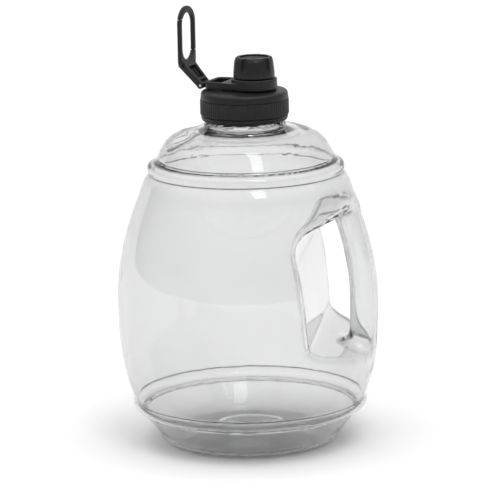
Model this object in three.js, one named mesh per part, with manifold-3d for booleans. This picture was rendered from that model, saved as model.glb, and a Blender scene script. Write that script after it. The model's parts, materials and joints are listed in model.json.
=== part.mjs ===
// Large clear water jug with a moulded side handle, a screw lid, a screw-on spout cap
// and a hinged carry loop. Millimetres, +Z up, the handle on +X.
import * as THREE from "three";
import { mergeVertices } from "three/addons/utils/BufferGeometryUtils.js";
import Module from "manifold-3d";

const wasm = await Module();
wasm.setup();

// Jug body
const bodyRadius = 89.4; // widest part of the barrel
const bodyHeight = 217; // floor to the foot of the neck
const wall = 1.8;
const footRise = 8; // push-up in the middle of the base
const neckRadius = 25.6;
const neckWall = 1.9;
const neckHeight = 21.2; // above the foot of the neck
const beadReach = 2.6; // ring below the lid, out from the neck
const beadHeight = 3.4;
const gripDepth = 19.4; // radial size of the handle grip
const gripWidth = 29; // tangential size of the handle grip
const dimpleRadius = 16;
const dimpleDepth = 5.5;
const dimpleTurn = 25; // degrees either side of -X

// Fits
const gap = 0.3; // seats, cut faces and running clearances
const threadHeight = 1.1;
const threadPitch = 4.5;
const threadTurns = 1.25;
const lidThreadTurns = 0.9;

// Lid
const lidWall = 1.4;
const sleeveWall = 1.3;
const sleeveRibs = 90;
const ribHeight = 0.35;
const lidDrop = 15.9; // skirt length below the neck rim
const lidPlate = 2.6; // thickness of the lid's roof
const domeHeight = 5.8; // roof above the top of the sleeve
const bandHeight = 3.3; // smooth band below the sleeve
const bandReach = 0.9; // band, out from the cup
const gasketHeight = 1.5;
const strapTurn = 162; // direction of the hinge seen from above, degrees from +X
const spoutShift = 7.5; // spout axis off the lid axis, away from the hinge
const spoutRadius = 8.8;
const spoutWall = 1.4;
const shoulderRise = 3.6; // raised crescent beside the collar

// Retainer arm, hinge and carry loop
const collarWall = 5.2;
const collarHeight = 7.6;
const armHeight = 5;
const armWidth = 23; // at the outer end
const railWidth = 3.2;
const webLength = 5; // plate between the collar and the window
const barWidth = 2.6; // cross bar at the arm's outer end
const hingeOverhang = 0.1; // hinge pin out from the ribbed sleeve
const pinRadius = 1;
const knuckleRadius = 2.2;
const pinRise = 1.1; // hinge pin above the foot of the collar
const linkWidth = 13; // at the hinge
const linkFlare = 5; // extra width where the link meets the loop
const cheekWidth = 2.4;
const linkSlope = 47; // degrees above level
const linkLength = 18.2;
const linkHeight = 4.4;
const loopWidth = 23.4;
const loopHeight = 40;
const loopDrop = 0.2; // foot of the loop below the end of the link
const loopRail = 3.4;
const loopCrown = 4.4; // thickness over the top of the loop
const loopCorner = 3; // rounding of the loop's two lower corners
const loopThickness = 2.8;

// Spout cap
const capHeight = 13.8;
const capWall = 2.7; // at the foot
const capTaper = 0.8;
const crownDrop = 3.4; // height of the slope round the top
const crownTaper = 1.5;
const coreWall = 1;
const coreRoof = 1.3;
const capThreadHeight = 0.8;
const capPitch = 3;
const spoutTurns = 1.1;
const capTurns = 1;
const grooves = 5;
const grooveWidth = 4;
const grooveDepth = 0.7;
const rimWidth = 1.7;
const discDrop = 1;
const discHeight = 1;
const flangeHeight = 0.8;
const capSealHeight = 1.2;

// Derived levels
const neckFoot = bodyHeight;
const rim = neckFoot + neckHeight;
const gasketFoot = rim + gap;
const roofFoot = gasketFoot + gasketHeight + gap;
const roof = roofFoot + lidPlate;
const skirtFoot = rim - lidDrop;
const domeFoot = roof - domeHeight;
const bandTop = skirtFoot + bandHeight;
const boreRadius = neckRadius + threadHeight + gap;
const cupRadius = boreRadius + lidWall;
const sleeveBore = cupRadius + gap;
const sleeveRadius = sleeveBore + sleeveWall;
const collarFoot = roof + gap;
const collarBore = spoutRadius + capThreadHeight + gap + 0.4;
const collarRadius = collarBore + collarWall;
const capFoot = collarFoot + collarHeight + 0.6;
const capTop = capFoot + capHeight;
const coreBore = spoutRadius + capThreadHeight + gap;
const coreRadius = coreBore + coreWall;
const capRadius = coreRadius + gap + capWall;
const capSideRadius = capRadius - capTaper;
const capTopRadius = capSideRadius - crownTaper;
const discFoot = capTop - discDrop - discHeight;
const flangeFoot = discFoot - gap - flangeHeight;
const coreTop = flangeFoot - gap;
const sealTop = coreTop - coreRoof - gap;
const sealFoot = sealTop - capSealHeight;
const spoutRim = sealFoot - gap;
const beadRadius = neckRadius + beadReach;
const neckThreadFoot = rim - 10.5;
const spoutThreadFoot = capFoot + 2.5;
const pinLevel = collarFoot + pinRise;
const hingeArm = sleeveRadius + hingeOverhang + spoutShift; // hinge pin from the spout axis
const armEnd = hingeArm - knuckleRadius - 3.2;
const lugHalf = linkWidth / 2 - cheekWidth - gap;

// Body outline, as shares of the body radius and height
const barrel = [
  [0.515, 0],
  [0.604, 0],
  [0.665, 0.011],
  [0.711, 0.039],
  [0.837, 0.106],
  [0.875, 0.112],
  [0.896, 0.122],
  [0.894, 0.136],
  [0.883, 0.143],
  [0.904, 0.166],
  [0.949, 0.226],
  [0.976, 0.287],
  [0.994, 0.36],
  [1, 0.44],
  [0.994, 0.519],
  [0.975, 0.578],
  [0.923, 0.673],
  [0.863, 0.747],
  [0.815, 0.797],
  [0.767, 0.846],
  [0.742, 0.861],
  [0.751, 0.877],
  [0.733, 0.891],
  [0.688, 0.9],
  [0.658, 0.924],
  [0.632, 0.943],
  [0.603, 0.96],
  [0.551, 0.977],
  [0.475, 0.992],
];

// Finger opening, as shares of the body radius and height
const opening = [
  [0.42, 0.705],
  [0.452, 0.64],
  [0.505, 0.56],
  [0.532, 0.45],
  [0.545, 0.375],
  [0.575, 0.345],
  [1.2, 0.265],
  [1.2, 0.84],
  [0.88, 0.762],
  [0.48, 0.713],
];

const clear = { color: 0xdfe3e6, roughness: 0.12, metalness: 0 };
const black = { color: 0x1b1b1d, roughness: 0.45, metalness: 0 };
const deepBlack = { color: 0x111113, roughness: 0.55, metalness: 0 };
const seal = { color: 0xd9d9d6, roughness: 0.7, metalness: 0 };
const steel = { color: 0x8d9094, roughness: 0.3, metalness: 0.9 };

function solid(geometry) {
  const bare = geometry.clone();
  bare.deleteAttribute("normal");
  bare.deleteAttribute("uv");
  const merged = mergeVertices(bare, 1e-4);
  return new wasm.Manifold(
    new wasm.Mesh({
      numProp: 3,
      vertProperties: merged.attributes.position.array,
      triVerts: new Uint32Array(merged.index.array),
    }),
  );
}

function revolve(profile, segments = 64) {
  const points = profile.map(([r, z]) => new THREE.Vector2(r, z));
  const geometry = new THREE.LatheGeometry(points, segments);
  geometry.rotateX(Math.PI / 2);
  return solid(geometry);
}

function disc(radius, foot, top, segments = 64) {
  return revolve([[0, foot], [radius, foot], [radius, top], [0, top]], segments);
}

function tube(inner, outer, foot, top, segments = 64) {
  const profile = [[inner, foot], [outer, foot], [outer, top], [inner, top], [inner, foot]];
  return revolve(profile, segments);
}

// Prism with its outline in X and Y, standing from foot to top.
function prism(shape, foot, top, curveSegments = 12) {
  const geometry = new THREE.ExtrudeGeometry(shape, {
    depth: top - foot,
    bevelEnabled: false,
    curveSegments,
  });
  geometry.translate(0, 0, foot);
  return geometry;
}

// Prism with its outline in X and Z, reaching the same distance each way along Y.
function sidePrism(outline, halfWidth) {
  const shape = new THREE.Shape(outline.map(([x, z]) => new THREE.Vector2(x, z)));
  const geometry = prism(shape, -halfWidth, halfWidth);
  geometry.rotateX(Math.PI / 2);
  return geometry;
}

function box(x0, x1, y0, y1, z0, z1) {
  const geometry = new THREE.BoxGeometry(x1 - x0, y1 - y0, z1 - z0);
  geometry.translate((x0 + x1) / 2, (y0 + y1) / 2, (z0 + z1) / 2);
  return solid(geometry);
}

// Cylinder lying along Y.
function crossBar(radius, x, z, y0, y1, segments = 24) {
  const geometry = new THREE.CylinderGeometry(radius, radius, y1 - y0, segments);
  geometry.translate(x, (y0 + y1) / 2, z);
  return solid(geometry);
}

// Closed skin over a row of rings that all hold the same number of points.
function skin(rings) {
  const count = rings[0].length;
  const faces = [];
  for (let row = 0; row < rings.length - 1; row += 1) {
    for (let k = 0; k < count; k += 1) {
      const a = row * count + k;
      const b = row * count + ((k + 1) % count);
      faces.push(a, b, a + count, b, b + count, a + count);
    }
  }
  const last = (rings.length - 1) * count;
  for (let k = 1; k < count - 1; k += 1) {
    faces.push(0, k + 1, k, last, last + k, last + k + 1);
  }
  const geometry = new THREE.BufferGeometry().setFromPoints(rings.flat());
  geometry.setIndex(faces);
  return solid(geometry);
}

// Helical ridge: root and crest are radii, and the crest may lie inside or outside the root.
function thread(root, crest, foot, pitch, turns) {
  const steps = Math.round(turns * 28);
  const rings = [];
  for (let step = 0; step <= steps; step += 1) {
    const share = step / steps;
    const ease = Math.min(1, share * 8, (1 - share) * 8);
    const tip = root + (crest - root) * Math.max(0.05, ease);
    const turn = 2 * Math.PI * turns * share;
    const level = foot + pitch * turns * share;
    const near = Math.min(root, tip);
    const far = Math.max(root, tip);
    const nearHalf = pitch * (near === root ? 0.24 : 0.12);
    const farHalf = pitch * (far === root ? 0.24 : 0.12);
    const corners = [[near, nearHalf], [far, farHalf], [far, -farHalf], [near, -nearHalf]];
    rings.push(
      corners.map(
        ([r, dz]) => new THREE.Vector3(r * Math.cos(turn), r * Math.sin(turn), level + dz),
      ),
    );
  }
  return skin(rings);
}

// Outline moved inwards by a thickness, at right angles to itself.
function inset(profile, thickness) {
  return profile.map(([r, z], k) => {
    const before = profile[Math.max(0, k - 1)];
    const after = profile[Math.min(profile.length - 1, k + 1)];
    const along = new THREE.Vector2(after[0] - before[0], after[1] - before[1]).normalize();
    return [r - along.y * thickness, z + along.x * thickness];
  });
}

function meshOf(name, body, look) {
  const made = body.getMesh();
  const geometry = new THREE.BufferGeometry();
  geometry.setAttribute("position", new THREE.BufferAttribute(made.vertProperties, 3));
  geometry.setIndex(new THREE.BufferAttribute(made.triVerts, 1));
  geometry.computeVertexNormals();
  const mesh = new THREE.Mesh(geometry, new THREE.MeshStandardMaterial(look));
  mesh.name = name;
  return mesh;
}

function outlineAt(shares, grow) {
  const points = shares.map(([r, z]) => new THREE.Vector2(r * bodyRadius, z * bodyHeight));
  return points.map((point, k) => {
    const before = points[(k + points.length - 1) % points.length];
    const after = points[(k + 1) % points.length];
    const into = point.clone().sub(before).normalize();
    const out = after.clone().sub(point).normalize();
    const side = new THREE.Vector2(into.y + out.y, -into.x - out.x).normalize();
    const reach = grow / Math.max(0.5, side.x * out.y - side.y * out.x);
    return [point.x + side.x * reach, point.y + side.y * reach];
  });
}

// Widest radius of the barrel at a level.
function barrelAt(level) {
  const share = level / bodyHeight;
  const k = barrel.findIndex(([, z], i) => i > 2 && z >= share);
  const [r0, z0] = barrel[k - 1];
  const [r1, z1] = barrel[k];
  return bodyRadius * (r0 + ((r1 - r0) * (share - z0)) / (z1 - z0));
}

// Handle grip between two levels, following the side of the barrel.
function grip(shrink, foot, top) {
  const rings = [];
  for (let row = 0; row <= 14; row += 1) {
    const level = foot + ((top - foot) * row) / 14;
    const depth = gripDepth / 2 - shrink;
    const centre = barrelAt(level) - gripDepth / 2 - 0.2;
    const ring = [];
    for (let k = 0; k < 28; k += 1) {
      const turn = (2 * Math.PI * k) / 28;
      const x = centre + depth * Math.cos(turn);
      const y = (gripWidth / 2 - shrink) * Math.sin(turn);
      ring.push(new THREE.Vector3(x, y, level));
    }
    rings.push(ring);
  }
  return skin(rings);
}

function dimple(side, extra) {
  const level = bodyHeight * 0.985;
  const reach = bodyRadius * 0.515;
  const out = dimpleRadius - dimpleDepth;
  const turn = THREE.MathUtils.degToRad(180 + side * dimpleTurn);
  const radius = reach + 0.437 * out;
  const ball = new THREE.IcosahedronGeometry(dimpleRadius + extra, 5);
  ball.translate(radius * Math.cos(turn), radius * Math.sin(turn), level + 0.9 * out);
  return solid(ball);
}

function bottle() {
  const outline = barrel.map(([r, z]) => [r * bodyRadius, z * bodyHeight]);
  const foot = [[0, footRise], [outline[0][0] * 0.72, footRise * 0.82]];
  const neck = [
    [beadRadius + 1.6, neckFoot - 0.6],
    [beadRadius, neckFoot + 0.4],
    [beadRadius, neckFoot + beadHeight],
    [neckRadius + 0.8, neckFoot + beadHeight + 1],
    [neckRadius, neckFoot + beadHeight + 2],
    [neckRadius, rim],
    [0, rim],
  ];
  let outside = revolve([...foot, ...outline, ...neck], 56);
  const throat = neckRadius - neckWall;
  const skinned = [...foot, ...outline];
  const inner = inset(skinned, wall);
  inner[0] = [0, footRise + wall];
  let inside = revolve(
    [...inner, [throat + 2, neckFoot - 0.6], [throat, neckFoot + 1.4], [throat, rim + 5], [0, rim + 5]],
    48,
  );
  const wide = bodyRadius * 1.2;
  outside = outside.subtract(solid(sidePrism(outlineAt(opening, 0), wide)));
  inside = inside.subtract(solid(sidePrism(outlineAt(opening, wall), wide)));
  const gripFoot = bodyHeight * 0.25;
  const gripTop = bodyHeight * 0.84;
  outside = outside.add(grip(0, gripFoot, gripTop));
  inside = inside.add(grip(wall, gripFoot + 0.4, gripTop - 0.4));
  for (const side of [-1, 1]) {
    outside = outside.subtract(dimple(side, 0));
    inside = inside.subtract(dimple(side, wall));
  }
  const ridge = thread(
    neckRadius - 0.3,
    neckRadius + threadHeight,
    neckThreadFoot,
    threadPitch,
    threadTurns,
  );
  return outside.add(ridge).subtract(inside);
}

function gasket() {
  return tube(neckRadius - neckWall - 1, boreRadius - gap, gasketFoot, gasketFoot + gasketHeight);
}

// Turns a body made about the spout, with its arm towards +X, into place.
function placed(body) {
  const turn = THREE.MathUtils.degToRad(strapTurn);
  const x = -spoutShift * Math.cos(turn);
  const y = -spoutShift * Math.sin(turn);
  return body.rotate([0, 0, strapTurn]).translate([x, y, 0]);
}

function lidBody() {
  const band = cupRadius + bandReach;
  const shell = revolve(
    [
      [0, roofFoot],
      [boreRadius, roofFoot],
      [boreRadius, skirtFoot],
      [band - 0.9, skirtFoot],
      [band, skirtFoot + 1.4],
      [band, bandTop],
      [cupRadius, bandTop],
      [cupRadius, domeFoot - gap],
      [sleeveRadius - 0.5, domeFoot - gap],
      [sleeveRadius - 0.4, domeFoot + 0.5],
      [sleeveRadius - 0.6, roof - 2.4],
      [sleeveRadius - 1.4, roof - 1.3],
      [sleeveRadius - 4, roof - 0.5],
      [sleeveRadius - 10, roof],
      [0, roof],
    ],
    72,
  );
  const ridge = thread(
    boreRadius + 0.3,
    boreRadius - threadHeight,
    neckThreadFoot - threadPitch / 2,
    threadPitch,
    lidThreadTurns,
  );
  const dome = revolve(
    [
      [0, roof - 3],
      [sleeveRadius - 1.2, domeFoot + 0.6],
      [sleeveRadius - 1.4, roof - 0.8],
      [sleeveRadius - 3.6, roof + 1.6],
      [sleeveRadius - 8, roof + shoulderRise],
      [0, roof + shoulderRise],
    ],
    72,
  );
  const keep = new THREE.Shape();
  const clearRadius = collarRadius + 0.7;
  const from = THREE.MathUtils.degToRad(170);
  const to = THREE.MathUtils.degToRad(276);
  keep.absarc(0, 0, clearRadius, from, to, false);
  keep.absarc(0, 0, clearRadius + 40, to, from, true);
  const crescent = dome.intersect(placed(solid(prism(keep, roof - 2.5, roof + 20, 16))));
  const spout = disc(spoutRadius, roof - 1, spoutRim, 48);
  const spoutRidge = thread(
    spoutRadius - 0.3,
    spoutRadius + capThreadHeight,
    spoutThreadFoot,
    capPitch,
    spoutTurns,
  );
  const bore = disc(spoutRadius - spoutWall, roofFoot - 1, spoutRim + 1, 48);
  return shell
    .add(ridge)
    .add(crescent)
    .add(placed(spout.add(spoutRidge)))
    .subtract(placed(bore));
}

function lidSleeve() {
  const foot = bandTop + gap;
  const top = domeFoot - 2 * gap;
  const shape = new THREE.Shape();
  for (let k = 0; k < sleeveRibs; k += 1) {
    for (const [share, radius] of [[0, sleeveRadius], [0.5, sleeveRadius - ribHeight]]) {
      const turn = (2 * Math.PI * (k + share)) / sleeveRibs;
      shape[k + share === 0 ? "moveTo" : "lineTo"](radius * Math.cos(turn), radius * Math.sin(turn));
    }
  }
  const edges = revolve(
    [[0, foot], [sleeveRadius - 0.6, foot], [sleeveRadius + 0.1, foot + 0.7], [sleeveRadius + 0.1, top], [0, top]],
    72,
  );
  const ribbed = solid(prism(shape, foot, top)).intersect(edges);
  return ribbed.subtract(disc(sleeveBore, foot - 1, top + 1, 72));
}

function retainerArm() {
  const half = armWidth / 2;
  const start = collarRadius + webLength;
  const top = collarFoot + armHeight;
  const sideAt = (u) => collarRadius + 0.2 + ((half - collarRadius) * u) / (armEnd - 2.5);
  const outline = [
    [0, -collarRadius - 0.2],
    [armEnd - 2.5, -half],
    [armEnd, -half + 2.5],
    [armEnd, half - 2.5],
    [armEnd - 2.5, half],
    [0, collarRadius + 0.2],
  ];
  const shape = new THREE.Shape(outline.map(([x, y]) => new THREE.Vector2(x, y)));
  const far = armEnd - barWidth;
  const frameOutline = [
    [start, -sideAt(start) + railWidth],
    [far, -sideAt(far) + railWidth],
    [far, sideAt(far) - railWidth],
    [start, sideAt(start) - railWidth],
  ];
  const frameHole = new THREE.Shape(frameOutline.map(([x, y]) => new THREE.Vector2(x, y)));
  const lug = crossBar(knuckleRadius, hingeArm, pinLevel, -lugHalf, lugHalf).add(
    box(armEnd - 1, hingeArm, -lugHalf, lugHalf, collarFoot, pinLevel + knuckleRadius - 0.4),
  );
  const hole = crossBar(pinRadius + gap, hingeArm, pinLevel, -lugHalf - 1, lugHalf + 1);
  const plate = solid(prism(shape, collarFoot, top))
    .subtract(solid(prism(frameHole, collarFoot - 1, top + 1)))
    .add(lug);
  const collar = revolve(
    [
      [0, collarFoot],
      [collarRadius, collarFoot],
      [collarRadius, collarFoot + collarHeight - 1],
      [collarRadius - 1, collarFoot + collarHeight],
      [0, collarFoot + collarHeight],
    ],
    48,
  );
  const bore = disc(collarBore, collarFoot - 1, collarFoot + collarHeight + 1, 48);
  return placed(plate.add(collar).subtract(bore).subtract(hole));
}

function hingePin() {
  const half = linkWidth / 2 - 0.4;
  return placed(crossBar(pinRadius, hingeArm, pinLevel, -half, half));
}

// Foot of the carry loop, where the link's middle line ends.
const loopFoot = pinLevel + linkLength * Math.sin(THREE.MathUtils.degToRad(linkSlope));
const loopOut = hingeArm + linkLength * Math.cos(THREE.MathUtils.degToRad(linkSlope));

// Upright slot outline: a half circle over the top, and a rounding of its own at the foot.
function slotShape(width, foot, top, corner) {
  const radius = width / 2;
  const shape = new THREE.Shape();
  shape.absarc(0, top - radius, radius, 0, Math.PI, false);
  shape.absarc(corner - radius, foot + corner, corner, Math.PI, 1.5 * Math.PI, false);
  shape.absarc(radius - corner, foot + corner, corner, 1.5 * Math.PI, 2 * Math.PI, false);
  return shape;
}

function loopRing() {
  const foot = loopFoot - loopDrop;
  const outer = prism(slotShape(loopWidth, foot, foot + loopHeight, loopCorner), 0, loopThickness);
  const holeWidth = loopWidth - 2 * loopRail;
  const holeTop = foot + loopHeight - loopCrown;
  const hole = prism(
    slotShape(holeWidth, foot + loopRail, holeTop, holeWidth / 2 - 0.01),
    -1,
    loopThickness + 1,
  );
  const ring = solid(outer).subtract(solid(hole));
  return ring.rotate([90, 0, 90]).translate([loopOut - loopThickness / 2, 0, 0]);
}

// The bow runs from one cut, over the top, to the other cut.
function bowRegion(grow) {
  const near = loopFoot + loopHeight * 0.79 - grow;
  const far = loopFoot + loopHeight * 0.22 - grow;
  const top = loopFoot + loopHeight + 5;
  const side = loopWidth / 2 + 2;
  const x = loopOut;
  return box(x - 6, x + 6, -0.5, side, near, top).add(box(x - 6, x + 6, -side, 0, far, top));
}

function carryLink() {
  const half = linkWidth / 2;
  const flared = half + linkFlare / 2;
  const thick = linkHeight / 2;
  const lap = half - cheekWidth;
  const plan = [[0, -half], [linkLength, -flared], [linkLength, flared], [0, half]];
  const hollow = [
    [5, -half + 2.6],
    [linkLength - 3, -flared + 3],
    [linkLength - 3, flared - 3],
    [5, half - 2.6],
  ];
  const [plate, pocket] = [plan, hollow].map(
    (outline) => new THREE.Shape(outline.map(([x, y]) => new THREE.Vector2(x, y))),
  );
  const clearance = box(-4, knuckleRadius + 1, -lap, lap, -6, 6);
  const bar = solid(prism(plate, -thick, thick))
    .subtract(solid(prism(pocket, thick - 2.6, thick + 1)))
    .add(crossBar(thick, 0, 0, -half, half))
    .add(crossBar(thick, linkLength, 0, -flared, flared))
    .subtract(clearance)
    .subtract(crossBar(pinRadius + gap, 0, 0, -half - 1, half + 1))
    .rotate([0, -linkSlope, 0])
    .translate([hingeArm, 0, pinLevel]);
  return placed(bar.add(loopRing().subtract(bowRegion(gap))));
}

function loopBow() {
  return placed(loopRing().intersect(bowRegion(0)));
}

function capCore() {
  const body = disc(coreRadius, capFoot + 0.5, coreTop, 48);
  const hollow = disc(coreBore, capFoot - 1, sealTop + gap, 48);
  const ridge = thread(
    coreBore + 0.3,
    coreBore - capThreadHeight,
    spoutThreadFoot - capPitch / 2,
    capPitch,
    capTurns,
  );
  return placed(body.subtract(hollow).add(ridge));
}

function capSeal() {
  return placed(disc(coreBore - gap, sealFoot, sealTop, 48));
}

function capShell() {
  const outside = revolve(
    [
      [0, capFoot],
      [capRadius, capFoot],
      [capRadius, capFoot + 3.6],
      [capSideRadius, capTop - crownDrop],
      [capTopRadius, capTop],
      [0, capTop],
    ],
    60,
  );
  let body = outside
    .subtract(disc(coreRadius + gap, capFoot - 1, flangeFoot, 48))
    .subtract(disc(capTopRadius - rimWidth, discFoot - gap, capTop + 1, 48))
    .subtract(disc(coreRadius - 3, capFoot, capTop + 1, 48));
  for (let k = 0; k < 2 * grooves; k += 1) {
    const deep = k % 2 === 0;
    const width = deep ? grooveWidth : grooveWidth / 2;
    const foot = deep ? capFoot + 4.4 : capTop - 1;
    const bottom = (deep ? capSideRadius : capTopRadius) - grooveDepth;
    const cut = box(bottom, capRadius + 3, -width / 2, width / 2, foot, capTop + 1);
    body = body.subtract(cut.rotate([0, 0, 14 + (180 * k) / grooves]));
  }
  return placed(body);
}

function capDisc() {
  const body = disc(capTopRadius - rimWidth - gap, discFoot, discFoot + discHeight, 48);
  return placed(body.subtract(disc(0.6, discFoot + discHeight / 2, discFoot + 2, 12)));
}

const group = new THREE.Group();
group.add(meshOf("bottle", bottle(), clear));
group.add(meshOf("lid_gasket", gasket(), seal));
group.add(meshOf("lid_body", lidBody(), black));
group.add(meshOf("lid_sleeve", lidSleeve(), black));
group.add(meshOf("retainer_arm", retainerArm(), black));
group.add(meshOf("hinge_pin", hingePin(), steel));
group.add(meshOf("carry_link", carryLink(), black));
group.add(meshOf("loop_bow", loopBow(), black));
group.add(meshOf("cap_core", capCore(), deepBlack));
group.add(meshOf("cap_seal", capSeal(), seal));
group.add(meshOf("cap_shell", capShell(), black));
group.add(meshOf("cap_disc", capDisc(), deepBlack));

export default group;
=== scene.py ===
"""Large clear water jug with a black screw lid, laid out as an add-on and run as a script."""

import json
import math

import bpy
import numpy as np
from mathutils import Matrix, Vector


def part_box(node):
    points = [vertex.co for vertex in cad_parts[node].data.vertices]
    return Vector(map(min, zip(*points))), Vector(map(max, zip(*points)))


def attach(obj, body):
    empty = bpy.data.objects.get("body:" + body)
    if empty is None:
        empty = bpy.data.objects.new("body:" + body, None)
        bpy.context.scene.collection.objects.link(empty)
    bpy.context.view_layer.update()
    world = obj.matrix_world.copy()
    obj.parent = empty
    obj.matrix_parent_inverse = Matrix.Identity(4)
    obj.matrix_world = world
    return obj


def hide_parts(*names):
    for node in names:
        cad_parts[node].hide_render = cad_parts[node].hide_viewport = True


bl_info = {
    "name": "Clear Barrel Water Jug",
    "version": (1, 0, 0),
    "blender": (4, 5, 0),
    "location": "View3D > Sidebar > Water Jug",
    "description": "Builds the looks of a large clear jug, its screw lid, spout cap and carry loop",
    "category": "Add Mesh",
}

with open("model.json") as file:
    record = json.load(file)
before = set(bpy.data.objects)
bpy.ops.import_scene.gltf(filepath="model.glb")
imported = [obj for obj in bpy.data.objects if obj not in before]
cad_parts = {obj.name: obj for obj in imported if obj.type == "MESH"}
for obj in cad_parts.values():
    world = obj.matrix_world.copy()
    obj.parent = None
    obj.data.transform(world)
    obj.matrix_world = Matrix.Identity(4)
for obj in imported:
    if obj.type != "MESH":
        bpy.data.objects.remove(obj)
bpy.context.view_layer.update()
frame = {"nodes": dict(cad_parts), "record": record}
MM = 1000.0


def edges_of(node):
    """Low and high corners of a frame node, in millimetres."""
    low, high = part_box(node)
    return np.array(low) * MM, np.array(high) * MM


def joint_named(name):
    return next(j for j in frame["record"]["behaviour"]["joints"] if j["name"] == name)


JUG_LOW, JUG_HIGH = edges_of("bottle")
SPOUT = np.array(joint_named("cap_turn")["pos_m"]) * MM
PIN = np.array(joint_named("loop_swing")["pos_m"]) * MM
STRAP = PIN[:2] - SPOUT[:2]
REACH = float(np.hypot(*STRAP))
STRAP = STRAP / REACH
SHIFT = float(np.hypot(*SPOUT[:2]))

# Body outline, as shares of the body radius and height, broken at the four sharp bead lines
FOOT_OUTLINE = [(0.604, 0.0), (0.665, 0.011), (0.711, 0.039), (0.77, 0.07), (0.837, 0.106)]
LOW_BEAD = [(0.837, 0.106), (0.875, 0.112), (0.896, 0.122), (0.894, 0.136), (0.883, 0.143)]
BARREL = [
    (0.883, 0.143),
    (0.904, 0.166),
    (0.949, 0.226),
    (0.976, 0.287),
    (0.994, 0.36),
    (1.0, 0.44),
    (0.994, 0.519),
    (0.975, 0.578),
    (0.923, 0.673),
    (0.863, 0.747),
    (0.815, 0.797),
    (0.767, 0.846),
    (0.742, 0.861),
]
HIGH_BEAD = [(0.742, 0.861), (0.751, 0.877), (0.733, 0.891), (0.688, 0.9)]
SHOULDER = [
    (0.688, 0.9),
    (0.658, 0.924),
    (0.632, 0.943),
    (0.603, 0.96),
    (0.551, 0.977),
    (0.475, 0.992),
]
OPENING = [
    (0.42, 0.705, 15.0),
    (0.505, 0.56, 10.0),
    (0.532, 0.45, 8.0),
    (0.545, 0.36, 6.0),
    (0.6, 0.342, 4.0),
    (1.2, 0.265),
    (1.2, 0.84),
    (0.88, 0.762, 9.0),
]


# ---- sizes and colours ----


class JugSettings(bpy.types.PropertyGroup):
    """Sizes and colour of the clear jug."""

    wall: bpy.props.FloatProperty(
        name="Wall",
        description="Thickness of the moulded wall",
        default=0.0018,
        unit="LENGTH",
    )
    neck_height: bpy.props.FloatProperty(
        name="Neck height",
        description="Height of the neck above the shoulder",
        default=0.0212,
        unit="LENGTH",
    )
    neck_radius: bpy.props.FloatProperty(
        name="Neck radius",
        description="Outside radius of the threaded neck",
        default=0.0256,
        unit="LENGTH",
    )
    softness: bpy.props.FloatProperty(
        name="Opening softness",
        description="Rounding where the finger opening meets the barrel",
        default=0.0045,
        unit="LENGTH",
    )
    absorption: bpy.props.FloatProperty(
        name="Absorption",
        description="How fast the plastic darkens what is seen through its thickness, per metre",
        default=50.0,
    )
    # Width of the painted shade band along each bead crease, which darkens the base colour where the
    # clear wall bends light away.
    line_width: bpy.props.FloatProperty(
        name="Crease line",
        description="Width of the dark line that the mould leaves along each bead crease",
        default=0.0005,
        unit="LENGTH",
    )
    tint: bpy.props.FloatVectorProperty(
        name="Tint",
        description="Colour that the clear plastic gives to what is seen through it",
        subtype="COLOR",
        size=3,
        default=(0.922, 0.924, 0.926),
    )


class LidSettings(bpy.types.PropertyGroup):
    """Sizes and colours of the black lid, its cap and its loop."""

    ribs: bpy.props.IntProperty(
        name="Sleeve ribs",
        description="Number of fine ribs round the lid's sleeve",
        default=90,
    )
    rib_height: bpy.props.FloatProperty(
        name="Rib height",
        description="Depth of the ribs on the sleeve",
        default=0.00035,
        unit="LENGTH",
    )
    grooves: bpy.props.IntProperty(
        name="Cap grooves",
        description="Number of wide grooves round the spout cap",
        default=5,
    )
    groove_depth: bpy.props.FloatProperty(
        name="Groove depth",
        description="Depth of the grooves round the spout cap",
        default=0.0013,
        unit="LENGTH",
    )
    rounding: bpy.props.FloatProperty(
        name="Edge rounding",
        description="Rounding on the edges of the black mouldings",
        default=0.0005,
        unit="LENGTH",
    )
    black: bpy.props.FloatVectorProperty(
        name="Black",
        description="Colour of the black mouldings",
        subtype="COLOR",
        size=3,
        default=(0.008, 0.008, 0.0088),
    )
    silicone: bpy.props.FloatVectorProperty(
        name="Silicone",
        description="Colour of the gasket and the cap seal",
        subtype="COLOR",
        size=3,
        default=(0.62, 0.62, 0.6),
    )


class StudioSettings(bpy.types.PropertyGroup):
    """Floor, light and camera."""

    floor: bpy.props.FloatVectorProperty(
        name="Floor",
        description="Colour of the floor and the sweep behind it",
        subtype="COLOR",
        size=3,
        default=(0.9, 0.9, 0.9),
    )
    dome: bpy.props.FloatProperty(
        name="Dome",
        description="Brightness of the soft dome overhead",
        default=1.65,
    )
    strip: bpy.props.FloatProperty(
        name="Strip",
        description="Power of the strip light above the camera",
        default=8.0,
        unit="POWER",
    )
    azimuth: bpy.props.FloatProperty(
        name="Azimuth",
        description="Camera's turn round the jug",
        default=math.radians(7.5),
        subtype="ANGLE",
    )
    distance: bpy.props.FloatProperty(
        name="Distance",
        description="Camera's distance over the floor",
        default=2.272,
        unit="LENGTH",
    )
    height: bpy.props.FloatProperty(
        name="Height",
        description="Camera's height above the floor",
        default=0.62,
        unit="LENGTH",
    )


# ---- distance fields, in millimetres ----


def soft_union(a, b, width):
    share = np.maximum(width - np.abs(a - b), 0) / width
    return np.minimum(a, b) - share * share * width / 4


def soft_cut(a, b, width):
    """Keeps a where b is positive."""
    return -soft_union(-a, b, width)


def soft_common(a, b, width):
    return -soft_union(-a, -b, width)


def slab(value, low, high):
    """Distance to the layer between two levels."""
    return np.maximum(low - value, value - high)


def rounded_box(x, y, z, low, high, radius):
    """Distance to a box with rounded edges."""
    parts = []
    for value, a, b in zip((x, y, z), low, high):
        parts.append(np.abs(value - (a + b) / 2) - (b - a) / 2 + radius)
    outside = np.sqrt(sum(np.maximum(p, 0) ** 2 for p in parts))
    inside = np.minimum(np.maximum(np.maximum(parts[0], parts[1]), parts[2]), 0)
    return outside + inside - radius


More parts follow.
